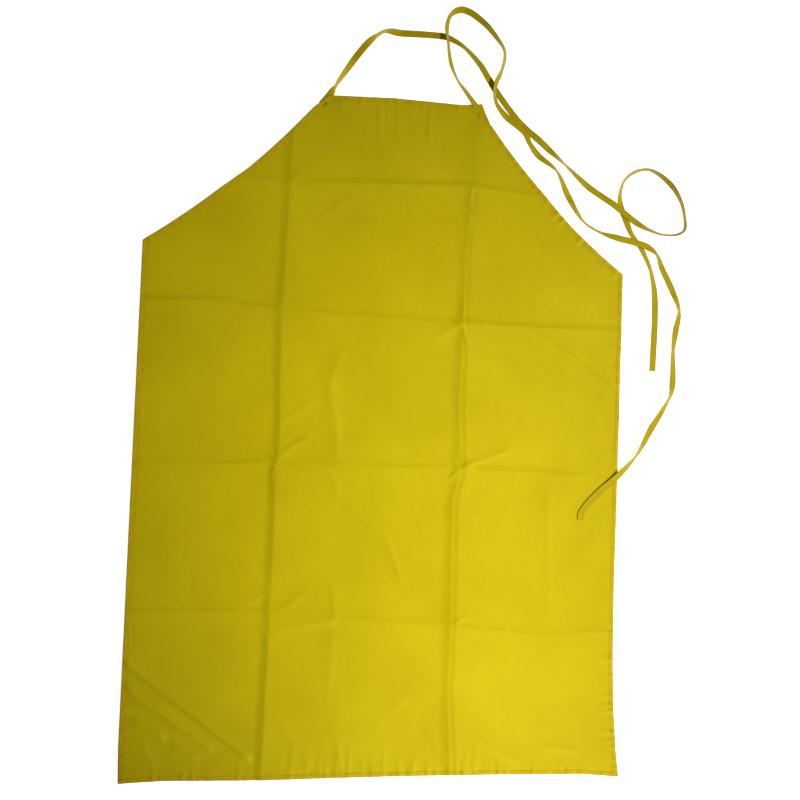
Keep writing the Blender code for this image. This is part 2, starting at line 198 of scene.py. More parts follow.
# Soft wrinkles, in millimetres: across and up from the bottom hem at one end, the same at the other
# end, half width and height.
WRINKLES = (
    (-81, 642, -96, 590, 8, 0.9), (-96, 590, -78, 480, 9, 1.1), (-376, 171, -282, 101, 4.5, 2.7),
    (-282, 101, -192, 33, 4.5, 2.5), (-372, 134, -298, 82, 6, 2.2), (-298, 82, -249, 49, 6, 1.8),
    (-360, 89, -317, 66, 5, 2.2), (-304, 52, -268, 36, 4.5, 1.8), (-348, 55, -332, 30, 5, 0.8),
    (-169, 477, -124, 512, 4.5, 0.9), (-163, 532, -128, 559, 4.5, 0.7), (-156, 422, -118, 403, 4.5, 0.9),
    (-93, 462, -75, 423, 6, 0.7), (-61, 405, 2, 354, 6, 0.9), (2, 354, 27, 292, 6, 1.0),
    (-167, 243, -117, 279, 5, 1.0), (-158, 223, -75, 236, 5, 0.7), (-80, 286, -72, 238, 5, 0.9),
    (-77, 216, -80, 142, 7, 0.8), (66, 672, 105, 694, 4.5, 1.0), (121, 475, 192, 503, 4.5, 0.9),
    (40, 485, 103, 476, 4.5, 0.7), (217, 703, 287, 663, 5, 1.3), (287, 663, 361, 612, 5, 1.2),
    (-9, 74, 60, 146, 5, 0.35), (-151, 81, -104, 30, 6, 1.0), (-64, 54, -57, 20, 4.5, 0.9),
    (255, 434, 260, 240, 6, 0.5), (20, 966, 56, 945, 5, 0.9), (71, 962, 110, 939, 4.5, 1.0),
    (-160, 909, -118, 882, 5, 0.9), (-107, 855, -71, 884, 5, 0.6), (-288, 648, -243, 604, 4.5, 0.5),
    (-35, 1028, -32, 976, 3.5, 0.7), (-8, 1012, -2, 964, 4, 0.5), (44, 1028, 45, 975, 3.5, 0.6),
    (-248, 463, -181, 472, 4.5, 0.7), (-175, 715, -143, 704, 4.5, 0.9), (-134, 700, -92, 697, 4.5, 0.6),
    (100, 852, 115, 848, 4.5, 0.8), (114, 831, 141, 811, 4.5, 0.6), (-188, 225, -169, 202, 4.5, 0.8),
    (-213, 255, -179, 278, 4.5, 0.6), (-349, 273, -268, 239, 6, 0.5), (153, 60, 215, 23, 6, 0.6),
    (71, 71, 105, 25, 5, 0.8), (259, 47, 315, 40, 5, 0.5),
)
# Short puckers that stand on the bottom hem: millimetres across, length and height.
HEM_PUCKERS = (
    (-148, 34, 0.5), (-131, 46, 0.7), (-109, 28, 0.4), (-90, 40, 0.5), (-66, 24, 0.4), (-46, 42, 0.6),
    (-12, 26, 0.4), (7, 46, 0.6), (29, 30, 0.4), (52, 22, 0.4), (133, 36, 0.5), (149, 46, 0.6),
    (171, 24, 0.4), (232, 24, 0.3), (287, 30, 0.3), (-241, 26, 0.4), (-206, 34, 0.5),
)
PUCKER_FOOT = 0.0040
PUCKER_LEAN = 0.0020
PUCKER_WIDTH = 0.0036

# The slow undulation of all layers, and the fine crinkle of each cover: height and wave length.
SWELL_HEIGHT = 0.00030
SWELL_WAVE = 0.210
CRINKLE_HEIGHT = 0.00008
FRONT_CRINKLE_WAVE = 0.052
BACK_CRINKLE_WAVE = 0.030

# Fine wrinkles that spread from the places where creases cross.
STAR_RAYS = 6
STAR_START = 0.0040
STAR_REACH = 0.0160
STAR_REACH_SPREAD = 0.0220
STAR_WIDTH = 0.0032
STAR_HEIGHT = 0.0002
STAR_HEIGHT_SPREAD = 0.0005

# Puckers along the sewn edge, and the smaller ones between the edge and its seam.
RIPPLE = 0.00058
RIPPLE_REACH = 0.016
RIPPLE_PITCHES = (0.011, 0.014, 0.019, 0.027, 0.041, 0.063)
HEM_RIPPLE = 0.00016
HEM_RIPPLE_REACH = 0.006
HEM_RIPPLE_WAVE = 0.016

# How the relief ends: cloth is flat round the tie's tail and the bib's corners, and the folded panel
# has to clear what it lies over, so that only the cloth to the right may rise higher.
CALM_REACH = 0.016
CALM_FADE = 0.022
CLEARANCE_SHARE = 0.93
LIMIT_POWER = 6
RIGHT_EXTRA = 0.0050
RIGHT_EXTRA_START = 0.045
RIGHT_EXTRA_RAMP = 0.030


# Outline and lay of the cloth. Points are rows of x and y, in metres.

def from_hem(pairs):
    """Two arrays, in metres, from millimetre pairs whose first value is measured from the bottom hem."""
    places, values = np.array(pairs, float).T / 1000
    return places - HALF_LENGTH, values


def arc(start, end, sag, steps):
    """Points from start to end on an arc that bows by sag to the left of the straight line."""
    chord = end - start
    length = np.hypot(*chord)
    radius = (length ** 2 / 4 + sag ** 2) / (2 * sag)
    half_angle = math.asin(length / (2 * radius))
    along = chord / length
    bow = np.array((-along[1], along[0]))
    angles = half_angle * np.linspace(-1, 1, steps + 1)[:, None]
    rise = radius * (np.cos(angles) - math.cos(half_angle))
    return (start + end) / 2 + along * radius * np.sin(angles) + bow * rise


def armhole(side):
    """The right (side 1) or left (side -1) armhole edge, from the waist up to the bib."""
    waist = np.array((side * HALF_WIDTH, SKIRT_LENGTH - HALF_LENGTH))
    bib = np.array((side * BIB_HALF_WIDTH, HALF_LENGTH))
    return arc(waist, bib, side * ARMHOLE_SAG, ARMHOLE_STEPS)


def bib_corner(side):
    """A bib corner's place, and the directions up the armhole edge there and inwards from that edge."""
    edge = armhole(side)
    along = (edge[-1] - edge[-2]) / np.hypot(*(edge[-1] - edge[-2]))
    return edge[-1], along, np.array((-side * along[1], side * along[0]))


BOTTOM_EDGE = 0
RIGHT_SIDE_EDGE = 1
RIGHT_ARM_EDGES = range(2, 2 + ARMHOLE_STEPS)
TOP_EDGE = 2 + ARMHOLE_STEPS
LEFT_ARM_EDGES = range(3 + ARMHOLE_STEPS, 3 + 2 * ARMHOLE_STEPS)
LEFT_SIDE_EDGE = 3 + 2 * ARMHOLE_STEPS


def cut_outline():
    """The apron's cut outline, counter-clockwise from its bottom left corner."""
    bottom = np.array(((-HALF_WIDTH, -HALF_LENGTH), (HALF_WIDTH, -HALF_LENGTH)))
    return np.vstack((bottom, armhole(1), armhole(-1)[::-1]))


def inset(points, distance):
    """The outline moved inwards by distance, with mitred corners."""
    before = points - np.roll(points, 1, 0)
    after = np.roll(points, -1, 0) - points
    before /= np.linalg.norm(before, axis=1)[:, None]
    after /= np.linalg.norm(after, axis=1)[:, None]
    inward = np.stack((-before[:, 1] - after[:, 1], before[:, 0] + after[:, 0]), 1)
    inward /= np.linalg.norm(inward, axis=1)[:, None]
    straight = inward[:, 1] * after[:, 0] - inward[:, 0] * after[:, 1]
    return points + inward * (distance / straight)[:, None]


def ring(distance, step=BORDER_STEP, edges=None):
    """Evenly spaced points along the outline moved inwards by distance, as the cloth is laid."""
    cut = cut_outline()
    moved = inset(cut, distance)
    points = []
    for index in range(len(cut)) if edges is None else edges:
        following = (index + 1) % len(cut)
        count = max(1, math.ceil(np.hypot(*(cut[following] - cut[index])) / step))
        share = np.arange(count)[:, None] / count
        points.append(moved[index] * (1 - share) + moved[following] * share)
    if edges is not None:
        points.append(moved[[(edges[-1] + 1) % len(cut)]])
    return lay(np.vstack(points))


def lay(points):
    """Move cut points to where the laid cloth has them."""
    x, y = points.T
    left_y, left_dx = from_hem(LEFT_EDGE_SHIFT)
    right_y, right_dx = from_hem(RIGHT_EDGE_SHIFT)
    bottom_x, bottom_dy = np.array(BOTTOM_EDGE_SHIFT, float).T / 1000
    top_x, top_dy = np.array(TOP_EDGE_SHIFT, float).T / 1000
    reach = np.clip((HALF_LENGTH - y) / BIB_RISE, 0, 1)
    half = BIB_HALF_WIDTH + (HALF_WIDTH - BIB_HALF_WIDTH) * reach
    share = np.clip((x / half + 1) / 2, 0, 1)
    dx = np.interp(y, left_y, left_dx) * (1 - share) + np.interp(y, right_y, right_dx) * share
    low = np.exp(-(y + HALF_LENGTH) / EDGE_SHIFT_FADE)
    high = np.exp(-(HALF_LENGTH - y) / EDGE_SHIFT_FADE)
    dy = np.interp(x, bottom_x, bottom_dy) * low + np.interp(x, top_x, top_dy) * high
    return np.stack((x + dx, y + dy), 1)


def to_line(points, corners):
    """Each point's distance from a line of corners, and the run along the line to its nearest place."""
    best = np.full(len(points), np.inf)
    run = np.zeros(len(points))
    passed = 0.0
    for start, end in zip(corners[:-1], corners[1:]):
        along = end - start
        length = np.hypot(*along)
        share = np.clip((points - start) @ along / length ** 2, 0, 1)
        distance = np.linalg.norm(points - start - share[:, None] * along, axis=1)
        nearer = distance < best
        best[nearer] = distance[nearer]
        run[nearer] = passed + share[nearer] * length
        passed += length
    return best, run


def edge_place(points):
    """Each point's distance from the laid outline, and the run along the outline to its nearest place."""
    corners = ring(0.0, step=COARSE_STEP)
    return to_line(points, np.vstack((corners, corners[:1])))


def edge_distance(points):
    """Distance of each point inside the laid outline from its edge."""
    return edge_place(points)[0]


# Relief: how far the whole laid apron stands off the surface under it.

def crease_line(crease, upright):
    """A crease's places along it, places across it and heights, in metres."""
    x, y, rise = np.array(crease, float).T / 1000
    y = y - HALF_LENGTH
    return (y, x, rise) if upright else (x, y, rise)


def flank(offset, ramp, fall):
    """A crease's profile: a bent rise to the crest at 0, over ramp, and a long fall beyond it."""
    rise = np.clip(1 + offset / ramp, 0, 1) ** 1.5
    return np.where(offset < 0, rise, np.exp(-np.maximum(offset, 0) / fall))


def upright_crease(points, crease, twin):
    """Relief of a crease that runs up the apron; a twin has a second step beside the first."""
    places, values, rises = crease_line(crease, True)
    across = points[:, 0] - np.interp(points[:, 1], places, values)
    height = flank(across, CREASE_RAMP, CREASE_FALL)
    if twin:
        step = flank(across - TWIN_STEP, TWIN_RAMP, CREASE_FALL)
        height = height * (1 - TWIN_SHARE) + TWIN_SHARE * step
    return height * np.interp(points[:, 1], places, rises)


def level_crease(points, crease):
    """Relief of a crease that runs across the apron."""
    places, values, rises = crease_line(crease, False)
    across = points[:, 1] - np.interp(points[:, 0], places, values)
    return flank(-across, LEVEL_RAMP, LEVEL_FALL) * np.interp(points[:, 0], places, rises)


def swell(points, seed, wave, count=7):
    """Smooth irregular undulation between about -1 and 1, with waves about as long as wave."""
    rng = np.random.default_rng(seed)
    total = np.zeros(len(points))
    for _ in range(count):
        angle, phase, stretch = rng.uniform(0, 1, 3)
        turn = 2 * math.pi * angle
        scale = 2 * math.pi / (wave * (0.7 + 0.8 * stretch))
        total += np.sin((points[:, 0] * math.cos(turn) + points[:, 1] * math.sin(turn)) * scale
                        + 2 * math.pi * phase)
    return total / math.sqrt(count)


def soft_line(points, start, end, width, height):
    """A low rounded wrinkle between two places that fades at both ends."""
    along = end - start
    length = np.hypot(*along)
    along = along / length
    offset = points - start
    run = offset @ along
    across = offset[:, 0] * -along[1] + offset[:, 1] * along[0]
    beyond = np.maximum(0, np.abs(run - length / 2) - length / 2 + width)
    return height * np.exp(-(across / width) ** 2 - (beyond / (1.5 * width)) ** 2)


def crossing_stars(points):
    """Fine wrinkles that spread from the places where two creases cross."""
    rng = np.random.default_rng(11)
    total = np.zeros(len(points))
    for upright in UPRIGHT_CREASES:
        places, values, _ = crease_line(upright, True)
        for level in LEVEL_CREASES:
            level_places, level_values, _ = crease_line(level, False)
            y = np.interp(values.mean(), level_places, level_values)
            centre = np.array((np.interp(y, places, values), y))
            for _ in range(STAR_RAYS):
                angle, reach, rise = rng.uniform(0, 1, 3)
                way = np.array((math.cos(2 * math.pi * angle), math.sin(2 * math.pi * angle)))
                start = centre + way * STAR_START
                end = centre + way * (STAR_REACH + STAR_REACH_SPREAD * reach)
                total += soft_line(points, start, end, STAR_WIDTH, STAR_HEIGHT + STAR_HEIGHT_SPREAD * rise)
    return total


def edge_ripple(points):
    """Irregular puckers that stand on the sewn edge and die away over the cloth."""
    distance, run = edge_place(points)
    rng = np.random.default_rng(5)
    wave = np.zeros(len(points))
    for pitch in RIPPLE_PITCHES:
        wave += np.sin(2 * math.pi * (run / pitch + rng.uniform()))
    reach = np.exp(-(distance / RIPPLE_REACH) ** 1.5)
    return RIPPLE * reach * np.clip(wave / 2 + 0.1, 0, 2)


def calm(points):
    """1 on free cloth, falling to 0 under the tie that lies on it and at the bib's sewn corners."""
    tail = np.array([route[:2] for route in RIGHT_TIE_ROUTE[-5:]], float) / 1000
    tail[:, 1] -= HALF_LENGTH
    near, _ = to_line(points, tail)
    for side in (-1, 1):
        corner = np.array((side * BIB_HALF_WIDTH, HALF_LENGTH))
        near = np.minimum(near, np.linalg.norm(points - corner, axis=1))
    share = np.clip((near - CALM_REACH) / CALM_FADE, 0, 1)
    return share ** 2 * (3 - 2 * share)


def folds(points):
    """Relief that all layers share: the creases and the slow undulation of the laid apron."""
    height = upright_crease(points, LEFT_CREASE, False) + upright_crease(points, RIGHT_CREASE, True)
    for crease in LEVEL_CREASES:
        height += level_crease(points, crease)
    return height + SWELL_HEIGHT * (1 + swell(points, 3, SWELL_WAVE))


def wrinkles(points):
    """Relief of the front cover alone, which lies loose over the lead-vinyl plies."""
    height = crossing_stars(points) + edge_ripple(points)
    height = height + CRINKLE_HEIGHT * (1 + swell(points, 4, FRONT_CRINKLE_WAVE))
    for first_x, first_y, last_x, last_y, width, rise in WRINKLES:
        start = np.array((first_x, first_y)) / 1000 - (0, HALF_LENGTH)
        end = np.array((last_x, last_y)) / 1000 - (0, HALF_LENGTH)
        height += soft_line(points, start, end, width / 1000, rise / 1000)
    for x, length, rise in HEM_PUCKERS:
        foot = np.array((x / 1000, PUCKER_FOOT - HALF_LENGTH))
        top = foot + (PUCKER_LEAN, length / 1000)
        height += soft_line(points, foot, top, PUCKER_WIDTH, rise / 1000)
    return height


def relief(points, loose=False):
    """Height of a layer's own laid shape above the surface under the apron."""
    height = folds(points)
    if loose:
        height += wrinkles(points)
    right = np.clip((points[:, 0] - RIGHT_EXTRA_START) / RIGHT_EXTRA_RAMP, 0, 1)
    limit = CLEARANCE_SHARE * (FOLD_AXIS_Z - LAYER_TOP) + RIGHT_EXTRA * right
    height = np.maximum(height, 0) * calm(points)
    return height / (1 + (height / limit) ** LIMIT_POWER) ** (1 / LIMIT_POWER)


# Hem profiles: what the turned and sewn edge adds to the layers' own heights.

def groove(distance, depth):
    """The line that the seam pulls into the cloth."""
    return depth * np.exp(-((distance - SEAM_INSET) / GROOVE_WIDTH) ** 2)


def hem_ripple(points, distance):
    """Small puckers between the edge and just inside the seam."""
    fade = np.exp(-(np.maximum(distance - SEAM_INSET, 0) / HEM_RIPPLE_REACH) ** 2)
    return HEM_RIPPLE * fade * swell(points, 8, HEM_RIPPLE_WAVE, 9)


def front_height(points, distance):
    """Height of the front cover's outer face."""
    hem = HEM_RAISE * np.clip((HEM_WIDTH - distance) / HEM_FADE, 0, 1)
    stitched = hem_ripple(points, distance) - groove(distance, FRONT_GROOVE)
    return LAYER_TOP + relief(points, loose=True) + hem + stitched


def under_height(points, distance):
    """Height of the turned hem's lower face."""
    return CLOTH_LOW + relief(points) + groove(distance, BACK_GROOVE)


def back_height(points, distance):
    """Height of the back cover's outer face, which steps up over the turned hem."""
    step = np.clip((HEM_WIDTH + BACK_STEP_FADE - distance) / BACK_STEP_FADE, 0, 1)
    crinkle = CRINKLE_HEIGHT * (1 + swell(points, 9, BACK_CRINKLE_WAVE))
    return CLOTH_LOW + relief(points) + BACK_STEP * step + crinkle


# Meshes.

def inside(points, border):
    """Which points lie inside a closed border."""
    x, y = points.T
    hit = np.zeros(len(points), bool)
    for (x0, y0), (x1, y1) in zip(border, np.roll(border, -1, 0)):
        if y0 != y1:
            crossed = (y0 > y) != (y1 > y)
            hit ^= crossed & (x < x0 + (y - y0) * (x1 - x0) / (y1 - y0))
    return hit


def crease_points(spread, along, across):
    """Points on close lines beside each crease."""
    offsets = np.arange(-spread, spread + across / 2, across)
    upright = []
    for crease in UPRIGHT_CREASES:
        places, values, _ = crease_line(crease, True)
        ys = np.arange(-HALF_LENGTH, HALF_LENGTH, along)
        xs = np.interp(ys, places, values)
        upright.append(np.stack(((xs[:, None] + offsets).ravel(), np.repeat(ys, len(offsets))), 1))
    level = []
    for crease in LEVEL_CREASES:
        places, values, _ = crease_line(crease, False)
        xs = np.arange(-HALF_WIDTH, HALF_WIDTH, along)
        ys = np.interp(xs, places, values)
        level.append(np.stack((np.repeat(xs, len(offsets)), (ys[:, None] + offsets).ravel()), 1))
    return np.vstack(upright), np.vstack(level)


def from_creases(points, creases):
    """Distance of each point from the nearest of the upright creases, or of those that run across."""
    upright = creases is UPRIGHT_CREASES
    gaps = []
    for crease in creases:
        places, values, _ = crease_line(crease, upright)
        along, across = (points[:, 1], points[:, 0]) if upright else points.T
        gaps.append(np.abs(across - np.interp(along, places, values)))
    return np.minimum.reduce(gaps)


def cloth_points(spacing, rings):
    """Places of a cloth's inner vertices: rings beside the edge, lines beside creases, and a grid."""
    grid, along, across, spread = spacing
    upright, level = crease_points(spread, along, across)
    level = level[from_creases(level, UPRIGHT_CREASES) > spread + across / 2]
    xs = np.arange(-HALF_WIDTH, HALF_WIDTH, grid)
    ys = np.arange(-HALF_LENGTH, HALF_LENGTH, grid)
    plain = np.stack(np.meshgrid(xs, ys), 2).reshape(-1, 2)
    clear = spread + (across + grid) / 2
    for creases in (UPRIGHT_CREASES, LEVEL_CREASES):
        plain = plain[from_creases(plain, creases) > clear]
    inner = np.vstack((upright, level, plain))
    inner = inner[inside(inner, ring(rings[-1] + RING_GAP, step=0.02))]
    return np.vstack([ring(distance) for distance in rings] + [inner])


def triangulate(border, inner):
    """Vertices and triangles that fill a closed border through the inner points."""
    points = [Vector(point) for point in np.vstack((border, inner))]
    edges = [(index, (index + 1) % len(border)) for index in range(len(border))]
    places, _, faces, _, _, _ = delaunay_2d_cdt(points, edges, [], 1, 1e-6, False)
    places = np.array(places)
    faces = np.array(faces)
    on_edge = (faces < len(border)).all(1)
    keep = ~on_edge
    keep[on_edge] = inside(places[faces[on_edge]].mean(1), border)
    return places, [tuple(face) for face in faces[keep].tolist()]


def put_in_scene(name, data):
    """An object of this data, in the scene."""
    piece = bpy.data.objects.new(name, data)
    bpy.context.scene.collection.objects.link(piece)
    return piece


def new_mesh(name, vertices, faces, material):
    """An object from vertices and faces, smooth shaded."""
    mesh = bpy.data.meshes.new(name)
    mesh.from_pydata([tuple(vertex) for vertex in vertices], [], faces)
    mesh.materials.append(material)
    mesh.shade_smooth()
    return put_in_scene(name, mesh)


def set_attribute(piece, name, values):
    """Store one number for each vertex, for the materials to read."""
    attribute = piece.data.attributes.new(name, "FLOAT", "POINT")
    attribute.data.foreach_set("value", np.asarray(values, np.float32))


def thicken(piece, thickness):
    """Give a cloth surface its thickness, behind its face."""
    solid = piece.modifiers.new("cloth", "SOLIDIFY")
    solid.thickness = thickness
    solid.offset = -1.0


def mark_cloth(piece, points, distance):
    """Attributes of a cover: nearness to a crease, hem and edge, and the place on the flat cloth."""
    gaps = [from_creases(points, creases) for creases in (UPRIGHT_CREASES, LEVEL_CREASES)]
    crease = np.exp(-np.minimum(*gaps) / CREASE_MARK)
    set_attribute(piece, "crease", crease)
    set_attribute(piece, "hem", np.clip((HEM_WIDTH - distance) / MARK_FADE, 0, 1))
    set_attribute(piece, "edge", np.clip((EDGE_MARK - distance) / MARK_FADE, 0, 1))
    set_attribute(piece, "cloth_x", points[:, 0])
    set_attribute(piece, "cloth_y", points[:, 1])


def in_tie_slot(points):
    """Which places are where a tie comes out of the top hem."""
    hit = np.zeros(len(points), bool)
    for side, way_out in ((-1, LEFT_TIE_EXIT), (1, RIGHT_TIE_EXIT)):
        _, along, inward = bib_corner(side)
        offset = points - np.array(way_out[:2])
        hit |= (np.abs(offset @ inward) < SLOT_HALF_WIDTH) & (np.abs(offset @ along) < SLOT_REACH)
    return hit


def make_front(material):
    """The front cover: its outer face, rolled round the edge and turned under as a hem."""
    border = ring(EDGE_RADIUS)
    places, faces = triangulate(border, cloth_points(FRONT_SPACING, HEM_RINGS))
    distance = edge_distance(places)
    vertices = [np.column_stack((places, front_height(places, distance)))]
    marks = [(places, distance)]
    profile = []
    for step in range(EDGE_STEPS + 1):
        angle = math.pi / 2 - math.pi * step / EDGE_STEPS
        profile.append((EDGE_RADIUS * (1 - math.cos(angle)), (1 + math.sin(angle)) / 2))
    profile += [(distance, 0.0) for distance in HEM_RINGS if distance < HEM_WIDTH]
    first = len(places)
    count = len(border)
    for depth, rise in profile:
        loop = ring(depth)
        reach = np.full(count, depth)
        high = front_height(loop, reach)
        low = under_height(loop, reach)
        vertices.append(np.column_stack((loop, low + (high - low) * rise)))
        marks.append((loop, reach))
    slot = in_tie_slot(border)
    for level in range(len(profile) - 1):
        here = first + level * count
        for index in range(count):
            following = (index + 1) % count
            if not (slot[index] and slot[following] and 0 < level < EDGE_STEPS - 1):
                faces.append((here + index, here + count + index,
                              here + count + following, here + following))
    piece = new_mesh("front_cover_cloth", np.vstack(vertices), faces, material)
    mark_cloth(piece, np.vstack([mark[0] for mark in marks]), np.concatenate([mark[1] for mark in marks]))
    weld = piece.modifiers.new("weld", "WELD")      # joins the rolled edge to the flat face's border
    weld.merge_threshold = WELD_REACH
    thicken(piece, CLOTH)
    return piece


def make_back(material):
    """The back cover, whose edge lies inside the turned hem."""
    border = ring(BACK_INSET)
    places, faces = triangulate(border, cloth_points(BACK_SPACING, BACK_RINGS))
    distance = edge_distance(places)
    vertices = np.column_stack((places, back_height(places, distance)))
    piece = new_mesh("back_cover_cloth", vertices, [face[::-1] for face in faces], material)
    mark_cloth(piece, places, distance)
    thicken(piece, CLOTH)
    return piece


def make_ply(name, low, thickness, material):
    """A lead-vinyl ply that follows the covers' relief."""
    border = ring(CORE_INSET, step=PLY_BORDER_STEP)
    places, faces = triangulate(border, cloth_points(PLY_SPACING, PLY_RINGS))
    keep = ~in_tie_root(places)
    faces = [face for face in faces if keep[list(face)].all()]
    vertices = np.column_stack((places, low + thickness + relief(places)))
    piece = new_mesh(name, vertices, faces, material)
    thicken(piece, thickness)
    return piece


def in_tie_root(points):
    """Which places are where a tie's sewn-in end lies."""
    hit = np.zeros(len(points), bool)
    for side in (-1, 1):
        corner, along, inward = bib_corner(side)
        offset = points - corner
        hit |= (offset @ inward < ROOT_NOTCH_WIDTH) & (offset @ along > -ROOT_NOTCH_LENGTH)
    return hit


def swept_faces(first, rows, sides):
    """The faces that close a shape made of rings of vertices, of which the first vertex has this index."""
    faces = []
    for row in range(rows - 1):
        for side in range(sides):
            near = first + row * sides
            following = (side + 1) % sides
            faces.append((near + side, near + following, near + sides + following, near + sides + side))
    last = first + (rows - 1) * sides
    faces.append(tuple(first + side for side in reversed(range(sides))))
    faces.append(tuple(last + side for side in range(sides)))
    return faces


def tube(vertices, faces, path, ups, radii, sides=6):
    """Add a closed round thread along a path to lists of vertices and faces."""
    path = np.asarray(path, float)
    along = np.gradient(path, axis=0)
    along /= np.linalg.norm(along, axis=1)[:, None]
    across = np.cross(ups, along)
    across /= np.linalg.norm(across, axis=1)[:, None]
    high = np.cross(along, across)
    first = sum(len(block) for block in vertices)
    turn = 2 * math.pi * np.arange(sides) / sides
    rings = (path[:, None]
             + across[:, None] * (np.cos(turn) * radii[:, None])[..., None]
             + high[:, None] * (np.sin(turn) * radii[:, None])[..., None])
    vertices.append(rings.reshape(-1, 3))
    faces += swept_faces(first, len(path), sides)


STITCH_SHARES = np.array((-0.5, -0.36, 0.0, 0.36, 0.5))
STITCH_RADII = THREAD_RADIUS * np.array((0.45, 0.92, 1.0, 0.92, 0.45))
STITCH_DIPS = np.array((-1.0, -0.25, 0.0, -0.25, -1.0))


def add_stitches(vertices, faces, line, ups):
    """Add a row of stitches along a line of points with a face normal at each."""
    gaps = np.linalg.norm(np.diff(line, axis=0), axis=1)
    run = np.concatenate(((0,), np.cumsum(gaps)))
    count = int((run[-1] - STITCH_LENGTH) / STITCH_PITCH)
    for index in range(count + 1):
        middle = STITCH_LENGTH / 2 + index * STITCH_PITCH
        places = middle + STITCH_SHARES * STITCH_LENGTH
        path = np.stack([np.interp(places, run, line[:, axis]) for axis in range(3)], 1)
        up = np.array([np.interp(middle, run, ups[:, axis]) for axis in range(3)])
        up /= np.linalg.norm(up)
        path += up * (STITCH_DIPS * STITCH_SINK)[:, None]
        tube(vertices, faces, path, up, STITCH_RADII)


def seam_line(*edges, first_x=None, last_x=None):
    """A stretch of the seam's line, cut at the fold where that is asked for."""
    line = ring(SEAM_INSET, step=0.002, edges=edges)
    if first_x is not None:
        line = line[line[:, 0] > first_x]
    if last_x is not None:
        line = line[line[:, 0] < last_x]
    return line


def make_seam(name, line, material):
    """The stitches of one stretch of seam, on the front and on the back of the apron."""
    distance = np.full(len(line), SEAM_INSET)
    vertices = []
    faces = []
    ups = np.tile((0.0, 0.0, 1.0), (len(line), 1))
    top = front_height(line, distance) + THREAD_RADIUS * 0.8
    low = under_height(line, distance) - THREAD_RADIUS * 0.2
    add_stitches(vertices, faces, np.column_stack((line, top)), ups)
    add_stitches(vertices, faces, np.column_stack((line, low)), -ups)
    return new_mesh(name, np.vstack(vertices), faces, material)


def tie_frame(route):
    """Samples along a tie: its middle line and the directions across and out of its face."""
    table = np.array(route, float)
    knots = table[:, :2] / 1000 - (0, HALF_LENGTH)
    spans = np.linalg.norm(np.diff(knots, axis=0), axis=1)
    slopes = np.empty_like(knots)
    slopes[0] = (knots[1] - knots[0]) / spans[0]
    slopes[-1] = (knots[-1] - knots[-2]) / spans[-1]
    slopes[1:-1] = (knots[2:] - knots[:-2]) / (spans[:-1] + spans[1:])[:, None]
    flat = []
    rolls = []
    lifts = []
    for index, width in enumerate(spans):
        steps = max(2, round(width / TAPE_STEP))
        last = index == len(spans) - 1
        t = np.arange(steps + last)[:, None] / steps
        flat.append(knots[index] * (2 * t ** 3 - 3 * t ** 2 + 1)
                    + slopes[index] * width * (t ** 3 - 2 * t ** 2 + t)
                    + knots[index + 1] * (3 * t ** 2 - 2 * t ** 3)
                    + slopes[index + 1] * width * (t ** 3 - t ** 2))
        rolls.append(table[index, 2] * (1 - t[:, 0]) + table[index + 1, 2] * t[:, 0])
        lifts.append(table[index, 3] * (1 - t[:, 0]) + table[index + 1, 3] * t[:, 0])
    flat = np.vstack(flat)
    roll = np.radians(smooth(np.concatenate(rolls), 1))
    lift = np.concatenate(lifts) / 1000
    half = np.abs(np.sin(roll)) * TAPE_WIDTH / 2 + np.abs(np.cos(roll)) * TAPE_THICKNESS / 2
    middle = np.column_stack((flat, smooth(half + TAPE_FLOOR_GAP + lift, 2)))
    along = np.gradient(middle, axis=0)
    along[:, 2] = 0
    along /= np.linalg.norm(along, axis=1)[:, None]
    level = np.cross((0.0, 0.0, 1.0), along)
    up = np.array((0.0, 0.0, 1.0))
    across = level * np.cos(roll)[:, None] + up * np.sin(roll)[:, None]
    face = np.cross(along, across)
    return middle, across, face


def smooth(values, reach):
    """Running mean over reach samples each way, with the ends kept."""
    padded = np.concatenate((np.full(reach, values[0]), values, np.full(reach, values[-1])))
    kernel = np.ones(2 * reach + 1) / (2 * reach + 1)
    return np.convolve(padded, kernel, "valid")


# Half of the tape's section, from its folded edge to its sewn edge: place across and height, in metres.
TAPE_SECTION = (
    (-0.00525, 0.00000), (-0.00518, 0.00020), (-0.00490, 0.00035), (-0.00400, 0.00042),
    (-0.00200, 0.00038), (0.00000, 0.00036), (0.00200, 0.00037), (0.00300, 0.00036),
    (0.00340, 0.00026), (0.00380, 0.00036), (0.00440, 0.00044), (0.00500, 0.00036),
    (0.00520, 0.00020), (0.00525, 0.00000),
)


def make_tape(name, route, material):
    """A tie's tape, the samples that it follows and its length."""
    middle, across, face = tie_frame(route)
    upper = np.array(TAPE_SECTION)
    section = np.vstack((upper, upper[-2:0:-1] * (1, -1)))
    rings = (middle[:, None] + across[:, None] * section[None, :, :1] + face[:, None] * section[None, :, 1:])
    count = len(section)
    faces = [face[:1] + face[:0:-1] for face in swept_faces(0, len(middle), count)]
    piece = new_mesh(name, rings.reshape(-1, 3), faces, material)
    run = np.concatenate(((0,), np.cumsum(np.linalg.norm(np.diff(middle, axis=0), axis=1))))
    set_attribute(piece, "cloth_x", np.tile(section[:, 0], len(middle)))
    set_attribute(piece, "cloth_y", np.repeat(run, count))
    fold = np.clip((np.abs(section[:, 0]) - TAPE_FOLD_START) / TAPE_FOLD_FADE, 0, 1)
    set_attribute(piece, "fold", np.tile(fold, len(middle)))
    return piece, middle, across, face, run[-1]


def make_tape_stitches(name, middle, across, face, material):
    """The row of stitches along a tape's sewn edge, on both of its faces."""
    vertices = []
    faces = []
    for side in (1, -1):
        line = middle + across * TAPE_SEAM + face * side * TAPE_SEAM_HEIGHT
        add_stitches(vertices, faces, line, face * side)
    return new_mesh(name, np.vstack(vertices), faces, material)


